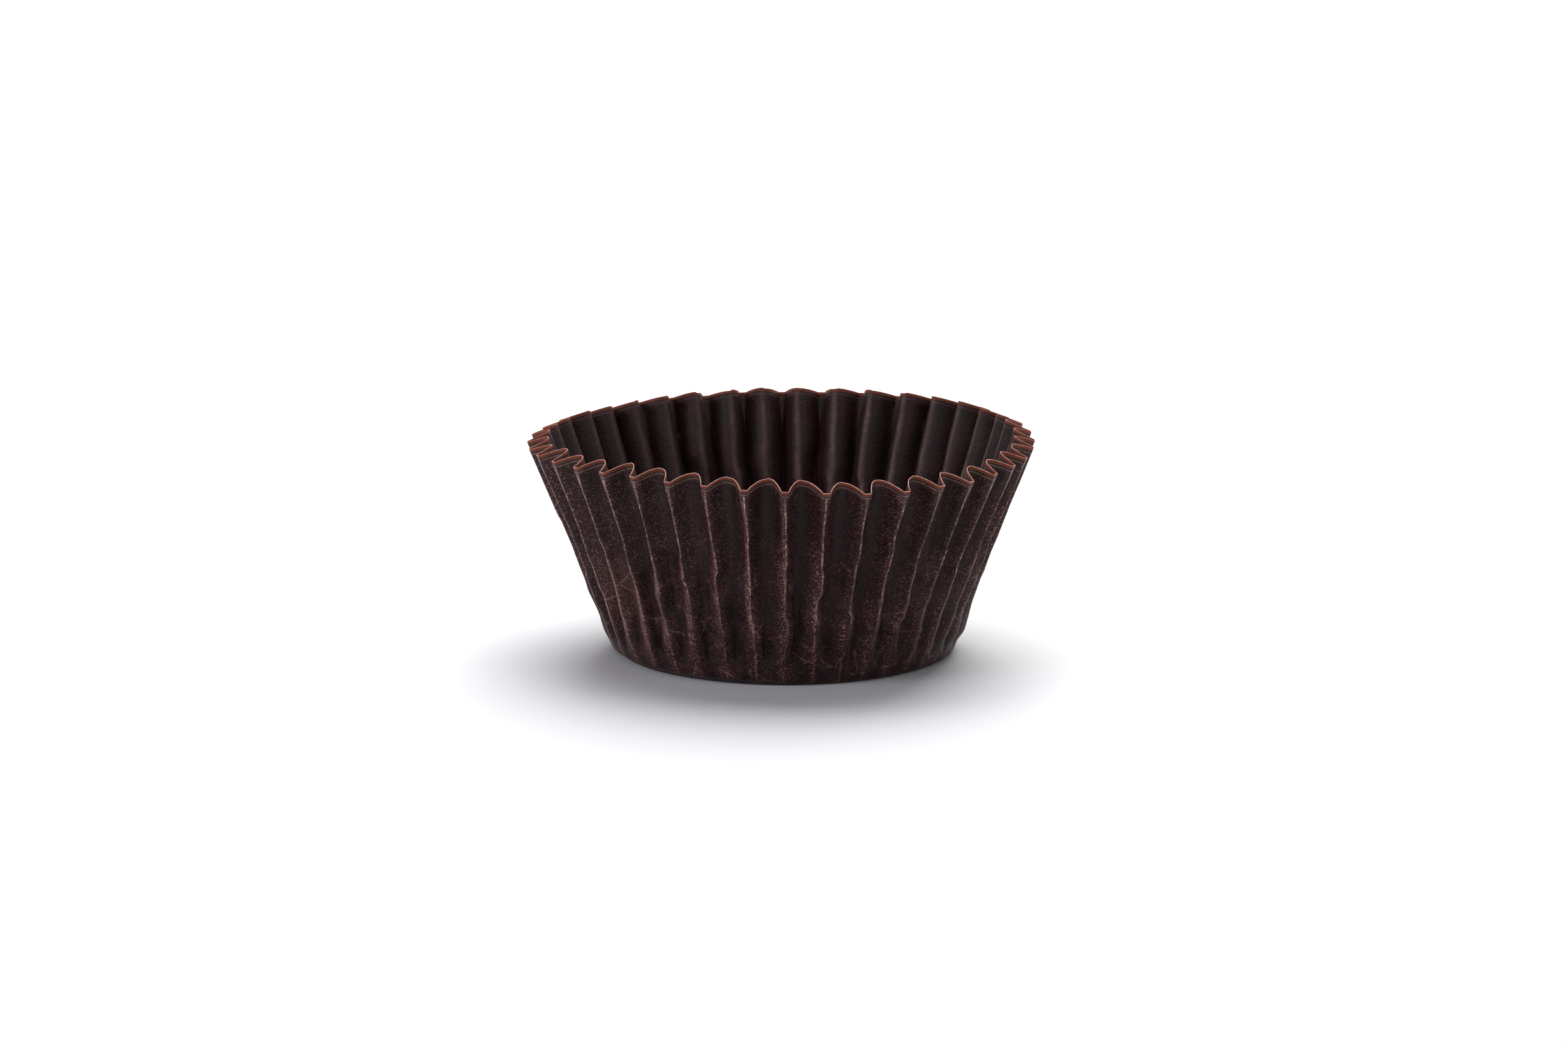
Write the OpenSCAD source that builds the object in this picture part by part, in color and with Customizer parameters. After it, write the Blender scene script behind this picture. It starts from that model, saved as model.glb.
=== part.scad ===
// Fluted paper cupcake liner, pressed from one flat disc of brown greaseproof paper.
// Origin at the centre of the underside of the base, +Z up, -Y to the front.

/* [Paper] */
// Diameter of the flat disc that the cup is pressed from
sheet_d = 116.4; // [112:0.2:122]
// Thickness of the paper
paper_t = 0.1; // [0.06:0.01:0.25]

/* [Cup] */
// Diameter of the base, over the foot of the wall
base_d = 50.8; // [46:0.2:54]
// Diameter over the outer folds at the rim, before the rim is pushed out of round
rim_d = 74.4; // [70:0.2:79]
// Radius of the fold where the base turns up into the wall
foot_r = 1.6; // [0.8:0.1:2.6]
// How far the outer folds hang inside a straight line at half height
wall_bow = 0.3; // [0:0.1:1]

/* [Flutes] */
// Number of flutes round the wall
flutes = 40; // [34:1:46]
// Width of the flattened outer fold between two flutes, at the rim
fold_w = 1; // [0.6:0.1:1.6]
// Width of the same fold at the foot, where the flutes are only narrow grooves between broad lands
foot_fold_w = 2.4; // [1:0.1:2.8]
// Length of wall above the foot over which the flutes come to their full depth
fade_in = 4; // [2:0.5:10]
// How arched the inner crest of a flute is, from a straight zigzag at 1 to a broad round arch at 3
crest_arch = 2.2; // [1:0.1:3]
// Direction of the first outer fold, in degrees from the front towards +X
first_fold = -1.5; // [-4.5:0.5:4.5]
// How far the flutes have slid along the wall, bunching up on two opposite sides, in degrees
bunching = 2; // [0:0.5:4]
// Direction that the flutes have slid most in, in degrees from the front towards +X
bunching_dir = 10; // [0:5:90]

/* [Rim out of round] */
// How far the rim is pushed out into an oval
oval = 1; // [0:0.1:2]
// Direction of the oval's long axis, in degrees from the front towards +X
oval_dir = 45; // [0:5:180]
// How far the rim is pushed out on three sides, which makes the oval an egg
egg = 0.6; // [0:0.1:1.5]
// Direction of one of those three sides, in degrees from the front towards +X
egg_dir = 30; // [0:5:120]

// How far the sheet lay off-centre in the press, which makes the wall stand taller on one side
off_centre = 0.4; // [0:0.1:1]
// Direction of the taller side, in degrees from the front towards +X
off_centre_dir = 105; // [0:5:355]

/* [Hidden] */

// Segments across one flute, and rings up the foot and up the wall
FLUTE_STEPS = 6;
FOOT_STEPS = 2;
WALL_STEPS = 6;
// An arched flute takes up more paper than a straight zigzag of the same depth, so it is less deep:
// this share of a zigzag's depth is lost for each 1 that crest_arch is over 1
ARCH_LOSS = 0.09;
// Rings are closer together low on the wall, where the flutes deepen fastest
RING_CROWDING = 1.5;

base_r = base_d / 2;
rim_r = rim_d / 2;
sheet_r = sheet_d / 2;

// Lean of the wall from upright, and how far the foot turns the paper
lean = asin((rim_r - base_r) / (sheet_r - base_r));
foot_turn = 90 - lean;
flat_r = base_r - foot_r * sin(foot_turn);
foot_z = foot_r * (1 - cos(foot_turn));
foot_len = foot_r * foot_turn * PI / 180;

// The wall is what is left of the sheet, so its height follows from the sheet, base and rim
wall_len = sheet_r - flat_r - foot_len;
wall_z = sqrt(pow(wall_len, 2) - pow(rim_r - base_r, 2));

// Depth of an arched flute as a share of a zigzag's
arch_share = 1 - ARCH_LOSS * (crest_arch - 1);

// Share of a flute's pitch that the outer fold takes, where the outer folds lie at radius r
// and the paper at a share w of the wall's height
function fold_share(r, w) = (fold_w + (foot_fold_w - fold_w) * pow(1 - w, 2)) * flutes / (2 * PI * r);

// Depth of a flute where the paper lies q from the disc's centre and the outer folds lie at radius r.
// Paper does not stretch, so the flutes take up the length by which the circle at q in the sheet
// is longer than the wall is round there.
function paper_depth(q, r) =
    let (pitch_angle = PI / flutes,
         c = pow(pitch_angle, 2),
         a = 1 / pow(arch_share, 2) + c / 4)
    (c * r + sqrt(pow(c * r, 2) + 4 * a * c * max(0, q * q - r * r))) / (2 * a);

// Rises smoothly from 0 to 1
function ease(x) = let (k = min(1, max(0, x))) k * k * (3 - 2 * k);

// One ring of the wall: [radius of the outer folds, their height, tilt of the paper there,
// depth of the flutes, share of the wall's height, share of the pitch that the outer fold takes]
function foot_ring(k) =
    let (turn = foot_turn * k / FOOT_STEPS)
    [flat_r + foot_r * sin(turn), foot_r * (1 - cos(turn)), turn, 0, 0, fold_share(base_r, 0)];

function wall_ring(k) =
    let (w = pow(k / WALL_STEPS, RING_CROWDING),
         bow = wall_bow * pow(sin(180 * w), 2),
         r = base_r + (rim_r - base_r) * w - bow * cos(lean),
         z = foot_z + wall_z * w + bow * sin(lean),
         q = flat_r + foot_len + wall_len * w)
    [r, z, foot_turn, paper_depth(q, r) * ease(w * wall_len / fade_in), w, fold_share(r, w)];

RINGS = concat([for (k = [0:FOOT_STEPS]) foot_ring(k)],
               [for (k = [1:WALL_STEPS]) wall_ring(k)]);

// Depth across one flute, from outer fold to outer fold, as a share of the flute's
FLUTE = [for (k = [0:FLUTE_STEPS]) 1 - pow(abs(1 - 2 * k / FLUTE_STEPS), crest_arch)];

ROUND = flutes * len(FLUTE);

// Direction of a point on the wall, in degrees from the front
function bearing(n, share) =
    let (across = share / 2 + (1 - share) * (n % len(FLUTE)) / FLUTE_STEPS,
         even = (floor(n / len(FLUTE)) + across) * 360 / flutes)
    first_fold + even + bunching * cos(2 * (even - bunching_dir));

// How far the rim is pushed out of round in a direction
function push(b) = oval * cos(2 * (b - oval_dir)) + egg * cos(3 * (b - egg_dir));

// A point of the paper's outer face.
// A wall that is pushed out swings about its foot, so it also comes down.
function face_point(ring, n) =
    let (b = bearing(n, ring[5]),
         depth = ring[3] * FLUTE[n % len(FLUTE)],
         out = push(b) * ring[4],
         reach = off_centre * cos(b - off_centre_dir) * ring[4],
         r = ring[0] - depth * sin(ring[2]) + reach * cos(ring[2]) + out,
         z = ring[1] + depth * cos(ring[2]) + reach * sin(ring[2]) - out * tan(lean))
    [r * sin(b), -r * cos(b), z];

OUTER = [for (ring = RINGS) [for (n = [0:ROUND - 1]) face_point(ring, n)]];

// Direction from the outer face into the paper
function inward(i, n) =
    let (up = i == 0 ? [0, 0, 0] : OUTER[min(i + 1, len(RINGS) - 1)][n] - OUTER[i - 1][n],
         along = OUTER[i][(n + 1) % ROUND] - OUTER[i][(n + ROUND - 1) % ROUND],
         side = cross(up, along))
    i == 0 ? [0, 0, 1] : side / norm(side);

INNER = [for (i = [0:len(RINGS) - 1])
    [for (n = [0:ROUND - 1]) OUTER[i][n] + inward(i, n) * paper_t]];

function flat(rows) = [for (row = rows) each row];

// Faces between two rings of points whose first indices are a and b
function band(a, b) = flat([for (n = [0:ROUND - 1])
    let (m = (n + 1) % ROUND) [[a + n, b + n, b + m], [a + n, b + m, a + m]]]);

function turned(faces) = [for (f = faces) [f[2], f[1], f[0]]];

module liner() {
    count = len(RINGS);
    inner_0 = count * ROUND;
    points = concat(flat(OUTER), flat(INNER));
    outer_faces = flat([for (i = [0:count - 2]) band(i * ROUND, (i + 1) * ROUND)]);
    inner_faces = turned(flat([for (i = [0:count - 2])
        band(inner_0 + i * ROUND, inner_0 + (i + 1) * ROUND)]));
    rim_faces = band((count - 1) * ROUND, inner_0 + (count - 1) * ROUND);
    under_face = [[for (n = [0:ROUND - 1]) n]];
    floor_face = [[for (n = [ROUND - 1:-1:0]) inner_0 + n]];
    color([0.16, 0.1, 0.09])
        polyhedron(points, concat(outer_faces, inner_faces, rim_faces, under_face, floor_face));
}

liner();
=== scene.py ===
"""The looks of a fluted paper cupcake liner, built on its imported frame.

One disc of dark brown greaseproof paper, pressed into a cup with a fluted wall. A Geometry Nodes
tree gathers the flat disc into the cup as the press does: paper does not stretch, so the flutes
take up the length by which the wall's circle is too short. All sizes are in metres, in the
frame's axes.
"""
import math

import bpy
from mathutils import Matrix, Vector


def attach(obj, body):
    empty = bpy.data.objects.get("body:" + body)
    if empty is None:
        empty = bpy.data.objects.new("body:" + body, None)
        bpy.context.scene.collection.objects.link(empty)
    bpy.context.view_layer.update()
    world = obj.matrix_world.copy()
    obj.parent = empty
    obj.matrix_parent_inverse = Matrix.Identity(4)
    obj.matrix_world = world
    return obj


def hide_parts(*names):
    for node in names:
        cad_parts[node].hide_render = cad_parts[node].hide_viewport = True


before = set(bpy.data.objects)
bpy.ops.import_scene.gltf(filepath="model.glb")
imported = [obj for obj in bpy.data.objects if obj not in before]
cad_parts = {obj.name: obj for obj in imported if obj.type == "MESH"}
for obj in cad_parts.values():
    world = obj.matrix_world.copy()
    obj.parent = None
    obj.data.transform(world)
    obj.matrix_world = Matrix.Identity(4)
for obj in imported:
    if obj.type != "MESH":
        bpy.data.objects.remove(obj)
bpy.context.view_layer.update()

MM = 0.001

# The kinds of node that are used most
MATH = "ShaderNodeMath"
WHOLE_MATH = "FunctionNodeIntegerMath"
VECTOR_MATH = "ShaderNodeVectorMath"
MAP_RANGE = "ShaderNodeMapRange"
MIX = "ShaderNodeMix"
RANDOM = "FunctionNodeRandomValue"
NOISE = "ShaderNodeTexNoise"
STORE = "GeometryNodeStoreNamedAttribute"
STORED = "GeometryNodeInputNamedAttribute"

# The flat disc and its paper
SHEET_R = 58.2 * MM
PAPER_T = 0.1 * MM

# The cup: base, outer folds at the rim, rounding of the foot
BASE_R = 25.4 * MM
RIM_R = 37.2 * MM
FOOT_R = 1.6 * MM

# What follows from these: lean of the wall, how far the foot turns, flat part of the base, wall
LEAN = math.asin((RIM_R - BASE_R) / (SHEET_R - BASE_R))
FOOT_TURN = math.pi / 2 - LEAN
FLAT_R = BASE_R - FOOT_R * math.sin(FOOT_TURN)
FOOT_LEN = FOOT_R * FOOT_TURN
WALL_LEN = SHEET_R - FLAT_R - FOOT_LEN
WALL_Z = math.sqrt(WALL_LEN ** 2 - (RIM_R - BASE_R) ** 2)

# The mesh: columns across a flute, how many of them lie across its outer fold, rows up the paper,
# and how much those of the wall crowd at the foot
FLUTES = 40
COLUMNS = 18
FOLD_COLUMNS = 4
BASE_ROWS = 4
FOOT_ROWS = 6
WALL_ROWS = 54
ROWS = BASE_ROWS + FOOT_ROWS + WALL_ROWS
ROW_CROWDING = 1.2

# Points closer than this are one, and an edge bent more sharply than this stays crisp
MERGE = 0.001 * MM
SHARP = math.radians(75)

# What chance does: its seed, where a fold jogs, as a share of the way from one knot to the next,
# and the numbers that keep the draws of the folds, the crests and their leaning apart
SEED = 7
JOG_START = 0.35
JOG_END = 0.52
JOG_MIDDLE = 0.425
KNOTS_APART = 64.0
CRESTS_FROM = 1000
SKEWS_FROM = 2000

# Crumples low on the wall, and the creases round them
CRUMPLE_SIZE = 6 * MM

# A place low on the left of the wall where the paper has been pinched and rubbed pale
PINCHED_AT = (-24 * MM, -16 * MM, 11.5 * MM)

# The camera: the frame in pixels, pixels to a metre at the base's centre, that point's pixel, the
# distance, the tilt, and the width of the sensor in millimetres
PHOTO_W = 2351
PHOTO_H = 1568
PX_PER_M = 10160
CENTRE_PX = (1175, 971)
CAMERA_DISTANCE = 1.15
CAMERA_TILT = math.radians(11.9)
SENSOR_W = 36

# The table: half its width, and its top, just under the paper
TABLE_HALF = 3.0
TABLE_Z = -0.02 * MM

# The lamps that fill the shadow are a little cooler than those that cast it
WHITE = (1.0, 1.0, 1.0)
COOL = (0.885, 0.905, 1.0)

# The studio's own light, and the softboxes: bearing from the front towards +X and elevation in
# degrees, distance, width and height, radiance and tint. The large one high behind the cup casts
# its soft shadow forward.
STUDIO_LIGHT = 0.14
SOFTBOXES = {
    "back_softbox": (167, 61, 1.0, (0.83, 1.1), 4.8, WHITE),
    "low_back_softbox": (180, 30, 1.0, (0.6, 0.5), 1.4, WHITE),
    "left_softbox": (-60, 25, 0.9, (0.4, 0.35), 4.55, COOL),
    "right_softbox": (62, 14, 0.9, (0.4, 0.35), 1.75, COOL),
    "front_softbox": (-8, 32, 0.9, (0.2, 0.3), 1.3, COOL),
}


def colour(hex_code):
    """Turns an sRGB hex colour to linear red, green, blue and alpha."""
    shares = [int(hex_code[i:i + 2], 16) / 255 for i in (1, 3, 5)]
    linear = [s / 12.92 if s <= 0.04045 else ((s + 0.055) / 1.055) ** 2.4 for s in shares]
    return (*linear, 1.0)


def add(tree, kind, inputs=None, output=0, **settings):
    """Adds a node with its settings, and its values or links, and gives back one of its outputs."""
    node = tree.nodes.new(kind)
    for name, value in settings.items():
        setattr(node, name, value)
    for socket, value in (inputs or {}).items():
        if isinstance(value, bpy.types.NodeSocket):
            tree.links.new(value, node.inputs[socket])
        else:
            node.inputs[socket].default_value = value
    return node.outputs[output]


def new_tree(name, inputs, outputs):
    """A Geometry Nodes tree with named inputs and outputs, and the sockets inside it for these."""
    tree = bpy.data.node_groups.new(name, "GeometryNodeTree")
    for label, kind in inputs.items():
        tree.interface.new_socket(label, in_out="INPUT", socket_type=kind)
    for label, kind in outputs.items():
        tree.interface.new_socket(label, in_out="OUTPUT", socket_type=kind)
    given = tree.nodes.new("NodeGroupInput").outputs
    result = tree.nodes.new("NodeGroupOutput").inputs
    return tree, given, result


def fold_wander_tree():
    """How far a fold is knocked aside, from -1 to 1, in short jogs, and how much it jogs there."""
    tree, given, result = new_tree(
        "fold wander",
        {"Fold": "NodeSocketFloat", "Rise": "NodeSocketFloat", "Knots": "NodeSocketFloat",
         "Seed": "NodeSocketInt"},
        {"Shift": "NodeSocketFloat", "Jog": "NodeSocketFloat"})
    phase = add(tree, RANDOM, {"ID": given["Fold"], "Seed": given["Seed"]}, 1)

    # Between two knots the fold runs straight, jogs in a short stretch, and runs straight on
    along = add(tree, MATH, {0: given["Rise"], 1: given["Knots"], 2: phase},
                operation="MULTIPLY_ADD")
    knot = add(tree, MATH, {0: along}, operation="FLOOR")
    between = add(tree, MATH, {0: along}, operation="FRACT")
    near_id = add(tree, MATH, {0: given["Fold"], 1: KNOTS_APART, 2: knot}, operation="MULTIPLY_ADD")
    far_id = add(tree, MATH, {0: near_id, 1: 1.0}, operation="ADD")
    near = add(tree, RANDOM, {2: -1.0, "ID": near_id, "Seed": given["Seed"]}, 1)
    far = add(tree, RANDOM, {2: -1.0, "ID": far_id, "Seed": given["Seed"]}, 1)
    jogged = add(tree, MAP_RANGE, {"Value": between, "From Min": JOG_START, "From Max": JOG_END})
    shift = add(tree, MIX, {"Factor": jogged, "A": near, "B": far})
    jump = add(tree, MATH, {0: far, 1: near}, operation="SUBTRACT")
    jump = add(tree, MATH, {0: jump}, operation="ABSOLUTE")
    off_jog = add(tree, MATH, {0: between, 1: JOG_MIDDLE}, operation="SUBTRACT")
    off_jog = add(tree, MATH, {0: off_jog}, operation="ABSOLUTE")
    at_jog = add(tree, MAP_RANGE, {"Value": off_jog, "From Min": 0.1, "From Max": 0.3,
                                   "To Min": 1.0, "To Max": 0.0})
    jog = add(tree, MATH, {0: jump, 1: at_jog}, operation="MULTIPLY")
    tree.links.new(shift, result["Shift"])
    tree.links.new(jog, result["Jog"])
    return tree


# The tree's inputs for the liner's sizes: lengths in metres, angles in radians, and shares
LINER_SIZES = {
    "Base radius": BASE_R,
    "Rim radius": RIM_R,
    "Foot radius": FOOT_R,
    "Flat radius": FLAT_R,
    "Foot length": FOOT_LEN,
    "Wall length": WALL_LEN,
    "Wall height": WALL_Z,
    "Foot turn": FOOT_TURN,
    "Lean": LEAN,
    "Wall bow": 0.3 * MM,
    "Rim fold width": 1.0 * MM,
    "Fold width": 0.16 * MM,
    "Foot fold width": 2.4 * MM,
    "Groove lean": 0.8 * MM,
    "Fade in": 4.0 * MM,
    "Crest arch": 2.2,
    "Arch loss": 0.09,
    "First fold": math.radians(-1.5),
    "Bunching": math.radians(2),
    "Bunching direction": math.radians(10),
    "Oval": 1.0 * MM,
    "Oval direction": math.radians(45),
    "Egg": 0.6 * MM,
    "Egg direction": math.radians(30),
    "Off centre": 0.4 * MM,
    "Off centre direction": math.radians(105),
    "Paper thickness": PAPER_T,
    "Fold kinks": 0.38 * MM,
    "Crest kinks": 0.5 * MM,
    "Fold knocks": 0.14 * MM,
    "Land swell": 0.22 * MM,
    "Crest skew": 0.45 * MM,
    "Uneven depth": 0.1,
    "Rim jitter": 0.12 * MM,
    "Creasing": 0.5 * MM,
    "Waviness": 0.15 * MM,
    "Base cockle": 0.15 * MM,
    "Foot slack": 0.5 * MM,
}


def pressed_liner_tree():
    """The flat disc, row by row from its centre, gathered into the cup, and given its thickness."""
    sockets = {label: "NodeSocketFloat" for label in LINER_SIZES}
    sockets.update({"Flutes": "NodeSocketInt", "Seed": "NodeSocketInt",
                    "Paper": "NodeSocketMaterial", "Cut edge": "NodeSocketMaterial"})
    tree, given, result = new_tree("pressed liner", sockets, {"Geometry": "NodeSocketGeometry"})
    wander = fold_wander_tree()

    # A grid whose columns go round the disc and whose rows go from its centre to its edge
    around = add(tree, WHOLE_MATH, {0: given["Flutes"], 1: COLUMNS}, operation="MULTIPLY")
    verts_around = add(tree, WHOLE_MATH, {0: around, 1: 1}, operation="ADD")
    grid = add(tree, "GeometryNodeMeshGrid", {"Vertices X": verts_around, "Vertices Y": ROWS + 1})
    index = add(tree, "GeometryNodeInputIndex")
    column = add(tree, WHOLE_MATH, {0: index, 1: ROWS + 1}, operation="DIVIDE_FLOOR")
    row = add(tree, WHOLE_MATH, {0: index, 1: ROWS + 1}, operation="MODULO")

    # Shares of the way over the base, round the foot and up the wall
    base_share = add(tree, MAP_RANGE, {"Value": row, "From Max": BASE_ROWS})
    foot_share = add(tree, MAP_RANGE, {"Value": row, "From Min": BASE_ROWS,
                                       "From Max": BASE_ROWS + FOOT_ROWS})
    wall_share = add(tree, MAP_RANGE, {"Value": row, "From Min": BASE_ROWS + FOOT_ROWS,
                                       "From Max": ROWS})
    rise = add(tree, MATH, {0: wall_share, 1: ROW_CROWDING}, operation="POWER")

    # Where a row lies, unfluted: its radius, its height, and its distance from the disc's centre
    turn = add(tree, MATH, {0: foot_share, 1: given["Foot turn"]}, operation="MULTIPLY")
    sin_turn = add(tree, MATH, {0: turn}, operation="SINE")
    cos_turn = add(tree, MATH, {0: turn}, operation="COSINE")
    half_turn = add(tree, MATH, {0: rise, 1: math.pi}, operation="MULTIPLY")
    swell = add(tree, MATH, {0: half_turn}, operation="SINE")
    swell_2 = add(tree, MATH, {0: swell, 1: swell}, operation="MULTIPLY")
    bow = add(tree, MATH, {0: given["Wall bow"], 1: swell_2}, operation="MULTIPLY")
    cos_lean, sin_lean, tan_lean = (add(tree, MATH, {0: given["Lean"]}, operation=ratio)
                                    for ratio in ("COSINE", "SINE", "TANGENT"))
    flare = add(tree, MATH, {0: given["Rim radius"], 1: given["Base radius"]}, operation="SUBTRACT")
    bow_in = add(tree, MATH, {0: bow, 1: cos_lean}, operation="MULTIPLY")
    bow_up = add(tree, MATH, {0: bow, 1: sin_lean}, operation="MULTIPLY")
    base_r = add(tree, MATH, {0: base_share, 1: given["Flat radius"]}, operation="MULTIPLY")
    foot_r = add(tree, MATH, {0: sin_turn, 1: given["Foot radius"], 2: base_r},
                 operation="MULTIPLY_ADD")
    wall_r = add(tree, MATH, {0: rise, 1: flare, 2: foot_r}, operation="MULTIPLY_ADD")
    row_r = add(tree, MATH, {0: wall_r, 1: bow_in}, operation="SUBTRACT")
    foot_up = add(tree, MATH, {0: 1.0, 1: cos_turn}, operation="SUBTRACT")
    foot_z = add(tree, MATH, {0: foot_up, 1: given["Foot radius"], 2: bow_up},
                 operation="MULTIPLY_ADD")
    row_z = add(tree, MATH, {0: rise, 1: given["Wall height"], 2: foot_z}, operation="MULTIPLY_ADD")
    foot_q = add(tree, MATH, {0: foot_share, 1: given["Foot length"], 2: base_r},
                 operation="MULTIPLY_ADD")
    row_q = add(tree, MATH, {0: rise, 1: given["Wall length"], 2: foot_q}, operation="MULTIPLY_ADD")

    # Depth of the flutes: the sheet's circle at this row is longer than the cup is round there
    pitch_angle = add(tree, MATH, {0: math.pi, 1: given["Flutes"]}, operation="DIVIDE")
    gather = add(tree, MATH, {0: pitch_angle, 1: pitch_angle}, operation="MULTIPLY")
    arched = add(tree, MATH, {0: given["Crest arch"], 1: 1.0}, operation="SUBTRACT")
    arch_loss = add(tree, MATH, {0: arched, 1: given["Arch loss"]}, operation="MULTIPLY")
    arch_share = add(tree, MATH, {0: 1.0, 1: arch_loss}, operation="SUBTRACT")
    share_2 = add(tree, MATH, {0: arch_share, 1: -2.0}, operation="POWER")
    fullness = add(tree, MATH, {0: gather, 1: 0.25, 2: share_2}, operation="MULTIPLY_ADD")
    q_2 = add(tree, MATH, {0: row_q, 1: row_q}, operation="MULTIPLY")
    r_2 = add(tree, MATH, {0: row_r, 1: row_r}, operation="MULTIPLY")
    spare = add(tree, MATH, {0: q_2, 1: r_2}, operation="SUBTRACT")
    spare = add(tree, MATH, {0: spare, 1: 0.0}, operation="MAXIMUM")
    gather_r = add(tree, MATH, {0: gather, 1: row_r}, operation="MULTIPLY")
    gather_r_2 = add(tree, MATH, {0: gather_r, 1: gather_r}, operation="MULTIPLY")
    four = add(tree, MATH, {0: fullness, 1: gather}, operation="MULTIPLY")
    four = add(tree, MATH, {0: four, 1: 4.0}, operation="MULTIPLY")
    under_root = add(tree, MATH, {0: four, 1: spare, 2: gather_r_2}, operation="MULTIPLY_ADD")
    root = add(tree, MATH, {0: under_root}, operation="SQRT")
    both = add(tree, MATH, {0: gather_r, 1: root}, operation="ADD")
    twice = add(tree, MATH, {0: fullness, 1: 2.0}, operation="MULTIPLY")
    full_depth = add(tree, MATH, {0: both, 1: twice}, operation="DIVIDE")
    up_wall = add(tree, MATH, {0: rise, 1: given["Wall length"]}, operation="MULTIPLY")
    fade = add(tree, MAP_RANGE, {"Value": up_wall, "From Max": given["Fade in"]},
               interpolation_type="SMOOTHSTEP")
    row_depth = add(tree, MATH, {0: full_depth, 1: fade}, operation="MULTIPLY")

    # Place across the flute: on the flat outer fold, or on the flank from there to the inner crest
    flute = add(tree, WHOLE_MATH, {0: column, 1: COLUMNS}, operation="DIVIDE_FLOOR")
    across = add(tree, WHOLE_MATH, {0: column, 1: COLUMNS}, operation="MODULO")
    back = add(tree, WHOLE_MATH, {0: COLUMNS, 1: across}, operation="SUBTRACT")
    to_fold = add(tree, WHOLE_MATH, {0: across, 1: back}, operation="MINIMUM")
    on_fold = add(tree, MAP_RANGE, {"Value": to_fold, "From Max": FOLD_COLUMNS / 2})
    flank = add(tree, MAP_RANGE, {"Value": to_fold, "From Min": FOLD_COLUMNS / 2,
                                  "From Max": COLUMNS / 2})
    far_half = add(tree, MATH, {0: across, 1: COLUMNS / 2}, operation="GREATER_THAN")
    ahead = add(tree, WHOLE_MATH, {0: column, 1: COLUMNS // 2}, operation="ADD")
    near_fold = add(tree, WHOLE_MATH, {0: ahead, 1: COLUMNS}, operation="DIVIDE_FLOOR")
    near_fold = add(tree, WHOLE_MATH, {0: near_fold, 1: given["Flutes"]}, operation="MODULO")
    crest = add(tree, WHOLE_MATH, {0: flute, 1: given["Flutes"]}, operation="MODULO")
    crest_id = add(tree, WHOLE_MATH, {0: crest, 1: CRESTS_FROM}, operation="ADD")
    skew_id = add(tree, WHOLE_MATH, {0: crest, 1: SKEWS_FROM}, operation="ADD")

    # Share of the flute's pitch that the outer fold takes, in the cup and in the flat sheet
    low = add(tree, MATH, {0: 1.0, 1: rise}, operation="SUBTRACT")
    near_foot = add(tree, MATH, {0: low, 1: 3.0}, operation="POWER")
    near_rim = add(tree, MAP_RANGE, {"Value": rise, "From Min": 0.82, "From Max": 0.99},
                   interpolation_type="SMOOTHSTEP")
    fold_width = add(tree, MIX, {"Factor": near_foot, "A": given["Fold width"],
                                 "B": given["Foot fold width"]})
    fold_width = add(tree, MIX, {"Factor": near_rim, "A": fold_width, "B": given["Rim fold width"]})
    pitch_share = add(tree, MATH, {0: given["Flutes"], 1: 2 * math.pi}, operation="DIVIDE")
    fold_turns = add(tree, MATH, {0: fold_width, 1: pitch_share}, operation="MULTIPLY")
    cup_r = add(tree, MATH, {0: row_r, 1: given["Base radius"]}, operation="MAXIMUM")
    cup_share = add(tree, MATH, {0: fold_turns, 1: cup_r}, operation="DIVIDE")
    flat_q = add(tree, MATH, {0: row_q, 1: given["Base radius"]}, operation="MAXIMUM")
    flat_share = add(tree, MATH, {0: fold_turns, 1: flat_q}, operation="DIVIDE")

    # Direction of the point, round the cup and round the flat sheet
    turns = []
    for share in (cup_share, flat_share):
        fold_part = add(tree, MATH, {0: on_fold, 1: share}, operation="MULTIPLY")
        flank_part = add(tree, MATH, {0: 1.0, 1: share}, operation="SUBTRACT")
        part = add(tree, MATH, {0: flank, 1: flank_part, 2: fold_part}, operation="MULTIPLY_ADD")
        half = add(tree, MATH, {0: part, 1: 0.5}, operation="MULTIPLY")
        other = add(tree, MATH, {0: 1.0, 1: half}, operation="SUBTRACT")
        place = add(tree, MIX, {"Factor": far_half, "A": half, "B": other})
        place = add(tree, MATH, {0: flute, 1: place}, operation="ADD")
        turns.append(add(tree, MATH, {0: place, 1: pitch_share}, operation="DIVIDE"))
    even, flat_turn = turns
    half_pitch = add(tree, MATH, {0: row_q, 1: pitch_angle}, operation="MULTIPLY")
    off_fold = add(tree, MATH, {0: half_pitch, 1: part}, operation="MULTIPLY")
    off_crest = add(tree, MATH, {0: half_pitch, 1: off_fold}, operation="SUBTRACT")
    side = add(tree, MATH, {0: across, 1: 2 * math.pi / COLUMNS}, operation="MULTIPLY")
    side = add(tree, MATH, {0: side}, operation="SINE")
    slid = add(tree, MATH, {0: even, 1: given["Bunching direction"]}, operation="SUBTRACT")
    slid = add(tree, MATH, {0: slid, 1: 2.0}, operation="MULTIPLY")
    slid = add(tree, MATH, {0: slid}, operation="COSINE")
    slid = add(tree, MATH, {0: slid, 1: given["Bunching"], 2: given["First fold"]},
               operation="MULTIPLY_ADD")
    bearing = add(tree, MATH, {0: even, 1: slid}, operation="ADD")

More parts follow.
